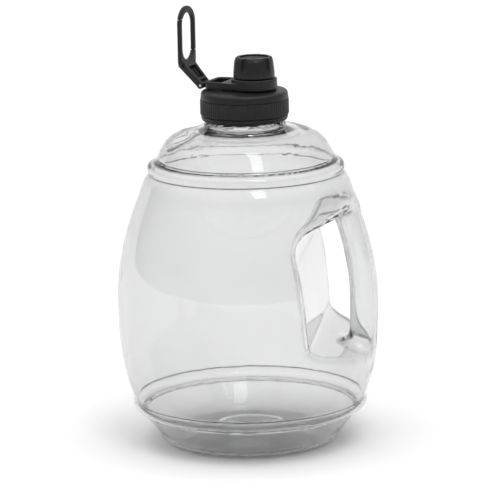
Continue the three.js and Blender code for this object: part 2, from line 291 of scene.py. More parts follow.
def rounded_plate(flat, z, low, high, edge):
    """Plate over a flat outline's signed distance, with rounded edges."""
    side = flat + edge
    end = np.abs(z - (low + high) / 2) - (high - low) / 2 + edge
    outside = np.hypot(np.maximum(side, 0), np.maximum(end, 0))
    return outside + np.minimum(np.maximum(side, end), 0) - edge


def rounded_rod(across, along, radius, low, high, edge):
    """Distance to a round bar, given the distance from its axis and the place along it."""
    return rounded_plate(across - radius, along, low, high, edge)


def polygon_distance(x, z, corners):
    """Signed distance in a plane, negative inside the corners."""
    best = np.full(x.shape, 1e9)
    inside = np.zeros(x.shape, bool)
    for k in range(len(corners)):
        ax, az = corners[k - 1]
        bx, bz = corners[k]
        ex, ez = bx - ax, bz - az
        share = np.clip(((x - ax) * ex + (z - az) * ez) / (ex * ex + ez * ez), 0, 1)
        best = np.minimum(best, np.hypot(x - ax - share * ex, z - az - share * ez))
        crosses = (az > z) != (bz > z)
        side = ax + (z - az) / np.where(ez == 0, 1e-9, ez) * ex
        inside ^= crosses & (x < side)
    return np.where(inside, -best, best)


def curve_through(points):
    """Smooth radius along the height through the points, as a function."""
    z = np.array([p[1] for p in points])
    r = np.array([p[0] for p in points])
    step = np.diff(z)
    slope = np.diff(r) / step
    inner = (slope[:-1] * step[1:] + slope[1:] * step[:-1]) / (step[1:] + step[:-1])
    tangent = np.concatenate([[slope[0]], inner, [slope[-1]]])

    def radius(level):
        k = np.clip(np.searchsorted(z, level) - 1, 0, len(z) - 2)
        t = np.clip((level - z[k]) / step[k], 0, 1)
        a = (2 * t**3 - 3 * t**2 + 1) * r[k] + (t**3 - 2 * t**2 + t) * step[k] * tangent[k]
        b = (3 * t**2 - 2 * t**3) * r[k + 1] + (t**3 - t**2) * step[k] * tangent[k + 1]
        return a + b

    return radius


# ---- closed skin of a field ----

CORNERS = [(i, j, k) for i in (0, 1) for j in (0, 1) for k in (0, 1)]
CELL_EDGES = [
    (a, b) for a in CORNERS for b in CORNERS if a < b and sum(p != q for p, q in zip(a, b)) == 1
]


def field_skin(field, xs, ys, zs, settle=4):
    """Quads on the zero surface of a field, drawn on it and evened out."""
    grid = np.meshgrid(xs, ys, zs, indexing="ij")
    value = field(*grid)
    shape = tuple(n - 1 for n in value.shape)

    def at(corner):
        i, j, k = corner
        return value[i : i + shape[0], j : j + shape[1], k : k + shape[2]]

    def place(corner):
        i, j, k = corner
        return [g[i : i + shape[0], j : j + shape[1], k : k + shape[2]] for g in grid]

    below = sum((at(c) < 0).astype(np.int8) for c in CORNERS)
    live = (below > 0) & (below < 8)
    total = np.zeros((int(live.sum()), 3))
    count = np.zeros(int(live.sum()))
    for a, b in CELL_EDGES:
        va, vb = at(a)[live], at(b)[live]
        hit = (va < 0) != (vb < 0)
        share = np.where(hit, va / np.where(hit, va - vb, 1), 0)
        for axis, (pa, pb) in enumerate(zip(place(a), place(b))):
            start, end = pa[live], pb[live]
            total[:, axis] += np.where(hit, start + share * (end - start), 0)
        count += hit
    points = total / count[:, None]
    index = np.full(shape, -1)
    index[live] = np.arange(len(points))
    faces = []
    for axis in range(3):
        first, second = [n for n in range(3) if n != axis]
        here = [slice(1, -1)] * 3
        here[axis] = slice(0, -1)
        ahead = list(here)
        ahead[axis] = slice(1, None)
        near, far = value[tuple(here)] < 0, value[tuple(ahead)] < 0
        crossed = near != far
        cells = []
        for da, db in ((0, 0), (1, 0), (1, 1), (0, 1)):
            part = [slice(None)] * 3
            part[axis] = slice(0, shape[axis])
            part[first] = slice(da, shape[first] - 1 + da)
            part[second] = slice(db, shape[second] - 1 + db)
            cells.append(index[tuple(part)][crossed])
        quad = np.stack(cells, axis=1)
        turned = near[crossed] if axis != 1 else ~near[crossed]
        quad[~turned] = quad[~turned][:, ::-1]
        faces.append(quad)
    quads = np.concatenate(faces)
    pace = 0.45 * min(np.diff(xs).min(), np.diff(ys).min(), np.diff(zs).min())
    points = onto_surface(field, points, pace)
    for _ in range(settle):
        points = onto_surface(field, evened(points, quads), pace)
    return points, quads


def onto_surface(field, points, pace, rounds=3):
    """Each point moved along the field's slope to its zero surface."""
    eps = 0.02
    for _ in range(rounds):
        x, y, z = points.T
        value = field(x, y, z)
        slope = np.stack(
            [
                field(x + eps, y, z) - field(x - eps, y, z),
                field(x, y + eps, z) - field(x, y - eps, z),
                field(x, y, z + eps) - field(x, y, z - eps),
            ],
            axis=1,
        ) / (2 * eps)
        size = np.maximum((slope**2).sum(axis=1), 0.05)
        move = -(value / size)[:, None] * slope
        length = np.maximum(np.linalg.norm(move, axis=1, keepdims=True), 1e-9)
        points = points + move * np.minimum(1, 2 * pace / length)
    return points


def evened(points, quads):
    """Each point moved part of the way to the middle of its neighbours."""
    total = np.zeros_like(points)
    count = np.zeros(len(points))
    for k in range(4):
        a, b = quads[:, k], quads[:, (k + 1) % 4]
        np.add.at(total, a, points[b])
        np.add.at(total, b, points[a])
        np.add.at(count, a, 1)
        np.add.at(count, b, 1)
    return points + 0.5 * (total / count[:, None] - points)


def spread(low, high, step):
    count = max(2, int(math.ceil((high - low) / step)) + 1)
    return np.linspace(low, high, count)


def levels(*spans):
    """Heights with their own spacing in each span, given as (low, high, step)."""
    rows = [spread(low, high, step)[:-1] for low, high, step in spans]
    return np.concatenate(rows + [[spans[-1][1]]])


# ---- objects ----


def new_object(name, points, faces, material, smooth=math.radians(35)):
    mesh = bpy.data.meshes.new(name)
    mesh.from_pydata((np.asarray(points) / MM).tolist(), [], [list(face) for face in faces])
    mesh.validate()
    mesh.materials.append(material)
    mesh.shade_smooth()
    mesh.set_sharp_from_angle(angle=smooth)
    made = bpy.data.objects.new(name, mesh)
    bpy.context.scene.collection.objects.link(made)
    return made


def combine(target, tool, operation="DIFFERENCE"):
    """Cuts the tool's solid out of the target, or joins it on, and removes the tool."""
    cut = target.modifiers.new("cut", "BOOLEAN")
    cut.operation = operation
    cut.solver = "MANIFOLD"
    cut.object = tool
    bpy.context.view_layer.update()
    done = bpy.data.meshes.new_from_object(
        target.evaluated_get(bpy.context.evaluated_depsgraph_get())
    )
    target.modifiers.clear()
    target.data = done
    bpy.data.objects.remove(tool)
    if len(done.polygons) == 0:
        raise RuntimeError("the cut left nothing of " + target.name)
    done.shade_smooth()
    done.set_sharp_from_angle(angle=math.radians(40))


def eased(profile, steps=4):
    """Profile with a curve at each corner that carries a third number, the length it takes."""
    out = []
    for k, spot in enumerate(profile):
        here = np.array(spot[:2], float)
        if len(spot) == 2:
            out.append(tuple(here))
            continue
        before = np.array(profile[k - 1][:2]) - here
        after = np.array(profile[(k + 1) % len(profile)][:2]) - here
        near, far = np.linalg.norm(before), np.linalg.norm(after)
        cut = min(spot[2], 0.48 * near, 0.48 * far)
        for t in np.linspace(0, 1, steps + 1):
            pull = here + (1 - t) ** 2 * cut * before / near + t**2 * cut * after / far
            out.append(tuple(pull))
    return out


def filled(profile, step):
    """Profile with extra points, so that no two neighbours lie further apart than the step."""
    out = []
    for a, b in zip(profile, profile[1:]):
        count = max(1, math.ceil(math.dist(a, b) / step))
        for k in range(count):
            out.append(tuple(np.array(a) + (np.array(b) - np.array(a)) * k / count))
    return out + [tuple(profile[-1])]


def turned(profile, columns, wave=None):
    """Points and faces of a profile turned about Z, closed on the axis or back on itself."""
    turn = np.linspace(0, 2 * math.pi, columns, endpoint=False)
    solid = profile[0][0] == 0
    rows = profile[1:-1] if solid else profile
    rings = []
    for r, z in rows:
        radius = np.full(columns, float(r))
        if wave is not None:
            radius = radius + wave(turn, r, z)
        ring = [radius * np.cos(turn), radius * np.sin(turn), np.full(columns, z)]
        rings.append(np.stack(ring, axis=1))
    faces = []
    for row in range(len(rows) - 1 if solid else len(rows)):
        below, above = row * columns, ((row + 1) % len(rows)) * columns
        for k in range(columns):
            n = (k + 1) % columns
            faces.append((below + k, below + n, above + n, above + k))
    points = np.concatenate(rings)
    if solid:
        foot, top = len(points), len(points) + 1
        last = (len(rows) - 1) * columns
        for k in range(columns):
            n = (k + 1) % columns
            faces.append((n, k, foot))
            faces.append((last + k, last + n, top))
        points = np.concatenate([points, [(0, 0, profile[0][1]), (0, 0, profile[-1][1])]])
    return points, faces


def finished(obj, body, *nodes):
    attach(obj, body)
    if nodes:
        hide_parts(*nodes)


# ---- materials ----


def new_material(name, roughness, metallic=0.0):
    made = bpy.data.materials.new(name)
    made.use_nodes = True
    shader = made.node_tree.nodes["Principled BSDF"]
    shader.inputs["Roughness"].default_value = roughness
    shader.inputs["Metallic"].default_value = metallic
    return made, made.node_tree, shader


def grain(tree, scale, detail=4.0, rough=0.55):
    place = tree.nodes.new("ShaderNodeTexCoord")
    noise = tree.nodes.new("ShaderNodeTexNoise")
    noise.inputs["Scale"].default_value = scale
    noise.inputs["Detail"].default_value = detail
    noise.inputs["Roughness"].default_value = rough
    tree.links.new(place.outputs["Object"], noise.inputs["Vector"])
    return noise


def spanned(tree, source, low, high):
    change = tree.nodes.new("ShaderNodeMapRange")
    change.inputs["From Min"].default_value = 0.3
    change.inputs["From Max"].default_value = 0.7
    change.inputs["To Min"].default_value = low
    change.inputs["To Max"].default_value = high
    tree.links.new(source.outputs["Fac"], change.inputs["Value"])
    return change


def coloured(tree, shader, source, dark, light):
    ramp = tree.nodes.new("ShaderNodeValToRGB")
    ramp.color_ramp.elements[0].position = 0.3
    ramp.color_ramp.elements[0].color = (*dark, 1)
    ramp.color_ramp.elements[1].position = 0.7
    ramp.color_ramp.elements[1].color = (*light, 1)
    tree.links.new(source.outputs["Fac"], ramp.inputs["Fac"])
    tree.links.new(ramp.outputs["Color"], shader.inputs["Base Color"])


def bumped(tree, shader, source, strength, distance, under=None):
    bump = tree.nodes.new("ShaderNodeBump")
    bump.inputs["Strength"].default_value = strength
    bump.inputs["Distance"].default_value = distance
    tree.links.new(source.outputs["Fac"], bump.inputs["Height"])
    if under is not None:
        tree.links.new(under.outputs["Normal"], bump.inputs["Normal"])
    tree.links.new(bump.outputs["Normal"], shader.inputs["Normal"])
    return bump


def painted_crease_shade(tree, crease_shade_bands, width):
    """Mask that is one inside each thin level band, given as its height and its share of the width;
    it marks where painted shade darkens the bead creases.
    """
    place = tree.nodes.new("ShaderNodeTexCoord")
    parts = tree.nodes.new("ShaderNodeSeparateXYZ")
    tree.links.new(place.outputs["Object"], parts.inputs["Vector"])
    total = None
    for level, share in crease_shade_bands:
        near = tree.nodes.new("ShaderNodeMath")
        near.operation = "COMPARE"
        near.inputs[1].default_value = level / MM
        near.inputs[2].default_value = width * share / 2
        tree.links.new(parts.outputs["Z"], near.inputs[0])
        if total is not None:
            both = tree.nodes.new("ShaderNodeMath")
            both.operation = "MAXIMUM"
            tree.links.new(total.outputs[0], both.inputs[0])
            tree.links.new(near.outputs[0], both.inputs[1])
            near = both
        total = near
    return total


def clear_plastic(sizes, crease_shade_bands):
    made, tree, shader = new_material("clear_copolyester", 0.04)
    shader.inputs["Transmission Weight"].default_value = 1.0
    shader.inputs["IOR"].default_value = 1.5
    broad = grain(tree, 14.0, 2.0)
    tint = list(sizes.tint)
    coloured(tree, shader, broad, [c * 0.985 for c in tint], [min(1, c * 1.01) for c in tint])
    plain = shader.inputs["Base Color"].links[0].from_socket
    # Painted shade: the crease mask mixes a dark grey into the base colour along each bead crease.
    mix = tree.nodes.new("ShaderNodeMix")
    mix.data_type = "RGBA"
    mix.inputs["B"].default_value = (0.12, 0.12, 0.125, 1)
    tree.links.new(painted_crease_shade(tree, crease_shade_bands, sizes.line_width).outputs[0], mix.inputs["Factor"])
    tree.links.new(plain, mix.inputs["A"])
    tree.links.new(mix.outputs["Result"], shader.inputs["Base Color"])
    haze = spanned(tree, grain(tree, 60.0), 0.02, 0.05)
    tree.links.new(haze.outputs["Result"], shader.inputs["Roughness"])
    bumped(tree, shader, broad, 0.15, 0.0006)
    depth = tree.nodes.new("ShaderNodeVolumeAbsorption")
    depth.inputs["Color"].default_value = (0.0, 0.0, 0.0, 1)
    depth.inputs["Density"].default_value = sizes.absorption
    tree.links.new(depth.outputs["Volume"], tree.nodes["Material Output"].inputs["Volume"])
    return made


def black_plastic(name, colour, rough=0.42, grain_size=1500.0):
    made, tree, shader = new_material(name, rough)
    shader.inputs["Specular IOR Level"].default_value = 0.3
    fine = grain(tree, grain_size)
    coloured(tree, shader, grain(tree, 260.0), [c * 0.8 for c in colour], [c * 1.25 for c in colour])
    gloss = spanned(tree, fine, rough - 0.07, rough + 0.08)
    tree.links.new(gloss.outputs["Result"], shader.inputs["Roughness"])
    bumped(tree, shader, fine, 0.25, 0.00004)
    return made


def silicone_rubber(colour):
    made, tree, shader = new_material("silicone", 0.6)
    coloured(tree, shader, grain(tree, 400.0), [c * 0.93 for c in colour], [c * 1.05 for c in colour])
    bumped(tree, shader, grain(tree, 1200.0), 0.2, 0.00004)
    return made


def pin_steel():
    made, tree, shader = new_material("pin_steel", 0.3, 1.0)
    drawn = grain(tree, 900.0)
    coloured(tree, shader, drawn, (0.32, 0.32, 0.33), (0.45, 0.45, 0.46))
    gloss = spanned(tree, drawn, 0.25, 0.4)
    tree.links.new(gloss.outputs["Result"], shader.inputs["Roughness"])
    return made


def studio_paper(colour):
    made, tree, shader = new_material("studio_paper", 0.85)
    coloured(tree, shader, grain(tree, 35.0), [c * 0.995 for c in colour], list(colour))
    return made


def studio_air(brightness):
    """World that is bright overhead and falls off softly to a dim horizon."""
    made = bpy.data.worlds.new("studio_air")
    made.use_nodes = True
    tree = made.node_tree
    place = tree.nodes.new("ShaderNodeTexCoord")
    parts = tree.nodes.new("ShaderNodeSeparateXYZ")
    fall = tree.nodes.new("ShaderNodeMapRange")
    fall.interpolation_type = "SMOOTHERSTEP"
    fall.inputs["From Min"].default_value = 0.1
    fall.inputs["From Max"].default_value = 0.9
    fall.inputs["To Min"].default_value = 0.3
    fall.inputs["To Max"].default_value = brightness
    background = tree.nodes["Background"]
    background.inputs["Color"].default_value = (1.0, 1.0, 1.0, 1)
    tree.links.new(place.outputs["Generated"], parts.inputs["Vector"])
    tree.links.new(parts.outputs["Z"], fall.inputs["Value"])
    tree.links.new(fall.outputs["Result"], background.inputs["Strength"])
    return made


# ---- the jug, in millimetres ----

PUNT_RADIUS, PUNT_SLOPE, PUNT_HEIGHT = 48.0, 26.0, 8.0
GRIP_DEPTH, GRIP_WIDTH = 19.4, 29.0
HOLLOW_OUT, HOLLOW_RADIUS = 10.5, 16.0
NECK_TURNS, NECK_PITCH = 1.25, 4.5


def jug_radius_table(settings):
    """Outside radius at each height, with a crisp line at each end of both beads."""
    radius = -JUG_LOW[0]
    rim = JUG_HIGH[2]
    height = rim - settings.neck_height * MM
    neck = settings.neck_radius * MM
    heights = np.arange(-4, rim + 12, 0.1)
    found = np.full(heights.shape, 0.604 * radius)
    for part in (FOOT_OUTLINE, LOW_BEAD, BARREL, HIGH_BEAD, SHOULDER):
        curve = curve_through([(r * radius, z * height) for r, z in part])
        inside = (heights >= part[0][1] * height) & (heights <= part[-1][1] * height)
        found[inside] = curve(heights[inside])
    top = heights > SHOULDER[-1][1] * height
    shares = [
        (SHOULDER[-1][1] * height, SHOULDER[-1][0] * radius),
        (height - 0.2, neck + 3.6),
        (height + 0.6, neck + 2.6),
        (height + 3.4, neck + 2.6),
        (height + 4.4, neck + 0.5),
        (height + 5.4, neck),
        (rim + 12, neck),
    ]
    found[top] = np.interp(heights[top], [s[0] for s in shares], [s[1] for s in shares])
    kernel = np.exp(-0.5 * (np.arange(-20, 21) / 4.0) ** 2)
    smooth = np.convolve(np.pad(found, 20, mode="edge"), kernel / kernel.sum(), mode="valid")
    return heights, smooth, height, rim


def jug_field(settings):
    """Distance to the jug's outside, before the neck is cut off at its rim."""
    heights, table, height, rim = jug_radius_table(settings)
    slope = np.gradient(table, heights)
    radius = -JUG_LOW[0]
    wall = settings.wall * MM
    neck = settings.neck_radius * MM
    soft = settings.softness * MM
    opening = eased([(x * radius, z * height, *cut) for x, z, *cut in OPENING])

    def barrel(x, y, z):
        reach = np.hypot(x, y)
        tilt = np.interp(z, heights, slope)
        side = (reach - np.interp(z, heights, table)) / np.sqrt(1 + tilt**2)
        share = np.clip((PUNT_RADIUS - reach) / PUNT_SLOPE, 0, 1)
        rise = PUNT_HEIGHT * share**2 * (3 - 2 * share)
        return soft_common(side, rise - z, 5.0)

    def outside(x, y, z):
        whole = barrel(x, y, z)
        gap = polygon_distance(x, z, opening)
        cut = soft_cut(whole, gap, soft)
        level = np.clip(z, height * 0.27, height * 0.82)
        centre = np.interp(level, heights, table) - GRIP_DEPTH / 2 - 0.3
        px, py = (x - centre) / (GRIP_DEPTH / 2), y / (GRIP_WIDTH / 2)
        near = np.hypot(px, py)
        far = np.hypot(px / (GRIP_DEPTH / 2), py / (GRIP_WIDTH / 2))
        grip = near * (near - 1) / np.maximum(far, 1e-6)
        grip = np.maximum(grip, slab(z, height * 0.25, height * 0.84))
        body = soft_union(cut, grip, 9.0)
        body = soft_common(body, whole, 1.2)
        for side in (-1, 1):
            turn = math.radians(180 + 25 * side)
            away = 0.515 * radius + 0.437 * HOLLOW_OUT
            cx, cy = away * math.cos(turn), away * math.sin(turn)
            cz = height * 0.985 + 0.9 * HOLLOW_OUT
            ball = np.sqrt((x - cx) ** 2 + (y - cy) ** 2 + (z - cz) ** 2) - HOLLOW_RADIUS
            body = soft_cut(body, ball, 3.0)
        return body

    def threaded(x, y, z):
        body = outside(x, y, z)
        turn = np.mod(np.arctan2(y, x), 2 * math.pi)
        foot = rim - 10.5
        ridge = np.full(x.shape, 9.0)
        length = 2 * math.pi * NECK_TURNS
        for lap in range(2):
            along = np.clip(turn + 2 * math.pi * lap, 0, length)
            share = along / length
            ease = np.clip(np.minimum(share, 1 - share) * 8, 0.05, 1)
            middle = foot + NECK_PITCH * along / (2 * math.pi)
            across = np.hypot((np.hypot(x, y) - neck) / (1.1 * ease), (z - middle) / 1.05) - 1
            live = turn + 2 * math.pi * lap <= length + 0.01
            ridge = np.minimum(ridge, np.where(live, across * 0.9, 9.0))
        return soft_common(soft_union(body, ridge, 0.3), z - rim, 0.3)

    def cavity(x, y, z):
        return outside(x, y, z) + wall

    return threaded, cavity, height, rim


# ---- lid pieces, in the strap's own directions ----


def from_strap(points):
    """World points of points given along the strap, across it and upwards."""
    u, v, z = np.asarray(points, float).T
    x = SPOUT[0] + u * STRAP[0] - v * STRAP[1]
    y = SPOUT[1] + u * STRAP[1] + v * STRAP[0]
    return np.stack([x, y, z], axis=1)


def strap_piece(name, field, spans, step, material):
    """Skin of a field given along the strap, across it and upwards, put in place."""
    points, quads = field_skin(field, *(spread(low, high, step) for low, high in spans))
    return new_object(name, from_strap(points), quads, material)


def helix_ridge(foot, pitch, turns, height, half):
    """Radius added by a screw ridge at a turn and a level, starting on the strap's line."""

    def wave(turn, level):
        most = np.zeros(turn.shape)
        for lap in range(math.ceil(turns)):
            along = turn + 2 * math.pi * lap
            share = along / (2 * math.pi * turns)
            ease = np.clip(np.minimum(share, 1 - share) * 8, 0, 1)
            off = np.abs(level - foot - pitch * along / (2 * math.pi)) / half
            most = np.maximum(most, height * ease * np.clip(1.6 - 1.6 * off, 0, 1))
        return most

    return wave


COLLAR_FOOT = PIN[2] - 1.1
GROOVE_TURN = math.radians(162 + 14)
LUG_HALF = 3.8
LOOP_SLOPE = math.radians(47)
LINK_LENGTH = 18.2
LINK_THICK = 4.4
LINK_WIDTH = 13.0
LINK_FLARE = 5.0
LOOP_OUT = REACH + LINK_LENGTH * math.cos(LOOP_SLOPE)
LOOP_FOOT = PIN[2] + LINK_LENGTH * math.sin(LOOP_SLOPE)
LOOP_WIDTH, LOOP_HEIGHT, LOOP_RAIL, LOOP_CROWN, LOOP_THICK = 23.4, 40.0, 3.4, 4.4, 2.8
LOOP_LOW = LOOP_FOOT - 0.2
NEAR_CUT = LOOP_FOOT + LOOP_HEIGHT * 0.79
FAR_CUT = LOOP_FOOT + LOOP_HEIGHT * 0.22


def slot_outline(v, z, half, low, high, corner):
    """Distance to an upright slot with a half circle on top and rounded corners at its foot."""
    arch = np.hypot(v, np.maximum(z - high + half, 0)) - half
    side = np.abs(v) - half + corner
    foot = low + corner - z
    square = np.hypot(np.maximum(side, 0), np.maximum(foot, 0))
    square = square + np.minimum(np.maximum(side, foot), 0) - corner
    return np.maximum(arch, square)


def loop_ring(u, v, z):
    """Distance to the whole upright ring of the carry loop."""
    top = LOOP_LOW + LOOP_HEIGHT
    inner = LOOP_WIDTH / 2 - LOOP_RAIL
    flat = np.maximum(
        slot_outline(v, z, LOOP_WIDTH / 2, LOOP_LOW, top, 3.0),
        -slot_outline(v, z, inner, LOOP_LOW + LOOP_RAIL, top - LOOP_CROWN, inner),
    )
    half = LOOP_THICK / 2
    return rounded_plate(flat, u, LOOP_OUT - half, LOOP_OUT + half, 0.9)


class JUG_OT_bottle(bpy.types.Operator):
    """Builds the clear moulded jug with its handle, shoulder hollows and threaded neck."""

    bl_idname = "water_jug.bottle"
    bl_label = "Clear Jug"

    def execute(self, context):
        settings = context.scene.jug_sizes
        threaded, cavity, height, rim = jug_field(settings)
        span = -JUG_LOW[0] + 3
        flat = spread(-span, span, 3.2)
        rows = levels(
            (-3, 20, 2.0),
            (20, 34, 0.9),
            (34, 58, 3.0),
            (58, 82, 2.1),
            (82, 148, 3.2),
            (148, 170, 2.0),
            (170, 183, 2.4),
            (183, 199, 0.9),
            (199, 215, 1.7),
            (215, rim + 8, 1.0),
        )
        # Heights of the bead creases that get painted shade lines, as shares of the body height, each
        # with its share of the line's width.
        shares = ((0.101, 0.5), (0.107, 0.5), (0.143, 1.0), (0.861, 1.2), (0.899, 0.5))
        crease_shade_bands = [(share * height, wide) for share, wide in shares]
        material = clear_plastic(settings, crease_shade_bands)
        points, quads = field_skin(threaded, flat, flat, rows)
        bottle = new_object("jug_body", points, quads, material)

        def hollow(x, y, z):
            return np.maximum(cavity(x, y, z), z - rim - 4)

        points, quads = field_skin(hollow, flat, flat, rows)
        inside = new_object("jug_hollow", points, quads, material)
        combine(bottle, inside)
        finished(bottle, "jug", "bottle")
        return {"FINISHED"}


class JUG_OT_lid(bpy.types.Operator):
    """Builds the lid's moulding with its raised shoulder and its threaded spout."""

    bl_idname = "water_jug.lid"
    bl_label = "Lid"

    def execute(self, context):
        lid = context.scene.jug_lid
        material = black_plastic("black_lid", lid.black)
        low, high = edges_of("lid_body")
        reach, skirt = high[1], low[2]
        roof = COLLAR_FOOT - 0.3
        rim = high[2]
        cup = edges_of("lid_gasket")[1][0] + 1.7
        band = edges_of("lid_sleeve")[0][2] - 0.3
        ledge = edges_of("lid_sleeve")[1][2] + 0.3
        inner = cup - 1.4
        profile = [
            (0, roof - 2.6),
            (inner, roof - 2.6),
            (inner, skirt + 0.3, 0.3),
            (inner + 0.3, skirt),
            (cup, skirt, 0.3),
            (cup + 0.9, skirt + 1.4, 0.8),
            (cup + 0.9, band, 0.25),
            (cup, band),
            (cup, ledge),
            (reach, ledge, 0.25),
            (reach, ledge + 0.9, 0.4),
            (reach - 0.25, roof - 2.4, 0.6),
            (reach - 1.1, roof - 1.1, 0.9),
            (reach - 3.8, roof - 0.45, 1.5),
            (reach - 10.0, roof, 3.0),
            (0, roof),
        ]
        points, faces = turned(filled(eased(profile, 3), 4.0), 120)
        shell = new_object("lid_moulding", points, faces, material)
        clear = edges_of("retainer_arm")[1][2]

        def crescent(u, v, z):
            r = np.hypot(u - SHIFT, v)
            dome = soft_common(r - reach + 1.3, z - roof - 3.6, 2.5)
            dome = soft_common(dome, (r - reach + 3.2) * 0.75 + (z - roof - 1.8) * 0.66, 2.0)
            wedge = np.full(u.shape, -9.0)
            for angle, sense in ((170, 1), (276, -1)):
                a = math.radians(angle)
                wedge = np.maximum(wedge, sense * (math.sin(a) * u - math.cos(a) * v))
            around = np.maximum(15.9 - np.hypot(u, v), roof - 2.0 - z)
            return soft_common(soft_common(dome, wedge, 1.4), around, 0.6)

        spans = ((-24, 12), (-25, 25), (roof - 4, clear))
        shoulder = strap_piece("lid_shoulder", crescent, spans, 0.8, material)
        combine(shell, shoulder, "UNION")
        bore, outer = 7.4, 8.8
        screw = helix_ridge(edges_of("cap_shell")[0][2] + 2.5, 3.0, 1.1, 0.8, 0.72)
        pipe = eased(
            [(bore, roof - 2.0), (outer, roof - 2.0), (outer, rim, 0.4), (bore, rim, 0.4)], 3
        )

        def screwed(turn, r, z):
            return screw(turn, z) if r > outer - 0.01 and z > roof + 1 else 0.0

        points, faces = turned(filled(pipe + [pipe[0]], 0.5)[:-1], 64, screwed)
        spout = new_object("lid_spout", from_strap(points), faces, material)
        points, faces = turned([(0, roof - 6), (bore, roof - 6), (bore, rim + 2), (0, rim + 2)], 64)
        hole = new_object("lid_bore", from_strap(points), faces, material)
        combine(shell, hole)
        combine(shell, spout, "UNION")
        finished(shell, "lid", "lid_body")
        return {"FINISHED"}


class JUG_OT_sleeve(bpy.types.Operator):
    """Builds the ribbed sleeve round the lid, with its smooth lower band."""

    bl_idname = "water_jug.sleeve"
    bl_label = "Ribbed Sleeve"

    def execute(self, context):
        lid = context.scene.jug_lid
        material = black_plastic("black_sleeve", lid.black, 0.46)
        low, high = edges_of("lid_sleeve")
        radius, foot, top = high[1], low[2], high[2]
        bore = radius - 1.3
        profile = [
            (bore, top),
            (bore, foot),
            (radius - 0.7, foot, 0.2),
            (radius - 0.1, foot + 0.6),
            (radius, foot + 0.9),
            (radius, foot + 1.7),
            (radius, (foot + top) / 2),
            (radius, top - 1.2),
            (radius, top - 0.5),
            (radius - 0.15, top - 0.2),
            (radius - 0.45, top),
        ]
        depth = lid.rib_height * MM

        def ribs(turn, r, z):
            if r < radius - 0.12:
                return 0.0
            fade = min(1.0, (z - foot) / 1.5, (top - z) / 1.0)
            shape = 0.5 - 0.5 * np.cos(lid.ribs * turn)
            return -depth * max(fade, 0.0) * shape**2

        points, faces = turned(eased(profile, 2), lid.ribs * 6, ribs)
        sleeve = new_object("lid_sleeve_ribs", points, faces, material)
        finished(sleeve, "lid", "lid_sleeve")
        return {"FINISHED"}


class JUG_OT_arm(bpy.types.Operator):
    """Builds the retainer arm with its collar, its window and its hinge lug."""

    bl_idname = "water_jug.arm"
    bl_label = "Retainer Arm"

    def execute(self, context):
        lid = context.scene.jug_lid
        edge = lid.rounding * MM
        material = black_plastic("black_arm", lid.black, 0.4)
        low, high = edges_of("retainer_arm")
        foot, top = COLLAR_FOOT, high[2]
        plate_top = foot + 5.0
        end = REACH - 5.4
        bore, collar = 10.3, 15.5
        outline = [(0, -collar - 0.2), (end - 2.5, -11.5), (end, -9.0)]
        outline += [(u, -v) for u, v in reversed(outline)]
        window = [(collar + 5.0, -9.6), (end - 2.6, -8.7)]
        window += [(u, -v) for u, v in reversed(window)]

        def arm(u, v, z):
            plate = rounded_plate(polygon_distance(u, v, outline), z, foot, plate_top, edge)
            hole = rounded_plate(polygon_distance(u, v, window) - 0.4, z, foot - 9, top + 9, 0.8)
            plate = soft_cut(plate, hole, 2 * edge)
            across = np.hypot(u - REACH, z - PIN[2])
            lug = rounded_rod(across, v, 2.2, -LUG_HALF, LUG_HALF, 0.3)
            tongue = rounded_box(
                u, v, z, (end - 1.2, -LUG_HALF, foot), (REACH, LUG_HALF, PIN[2] + 1.8), 0.3
            )
            body = soft_union(plate, soft_union(lug, tongue, 0.5), 0.8)
            ring = rounded_rod(np.hypot(u, v), z, collar, foot, top, 0.9)
            body = soft_union(body, ring, 1.2)
            body = soft_cut(body, np.hypot(u, v) - bore, 0.5)
            return soft_cut(body, across - 1.3, 0.2)

        spans = ((-collar - 1, REACH + 3), (-collar - 1, collar + 1), (low[2] - 1, top + 1))
        made = strap_piece("retainer_arm_moulding", arm, spans, 0.65, material)
        finished(made, "lid", "retainer_arm")
        return {"FINISHED"}


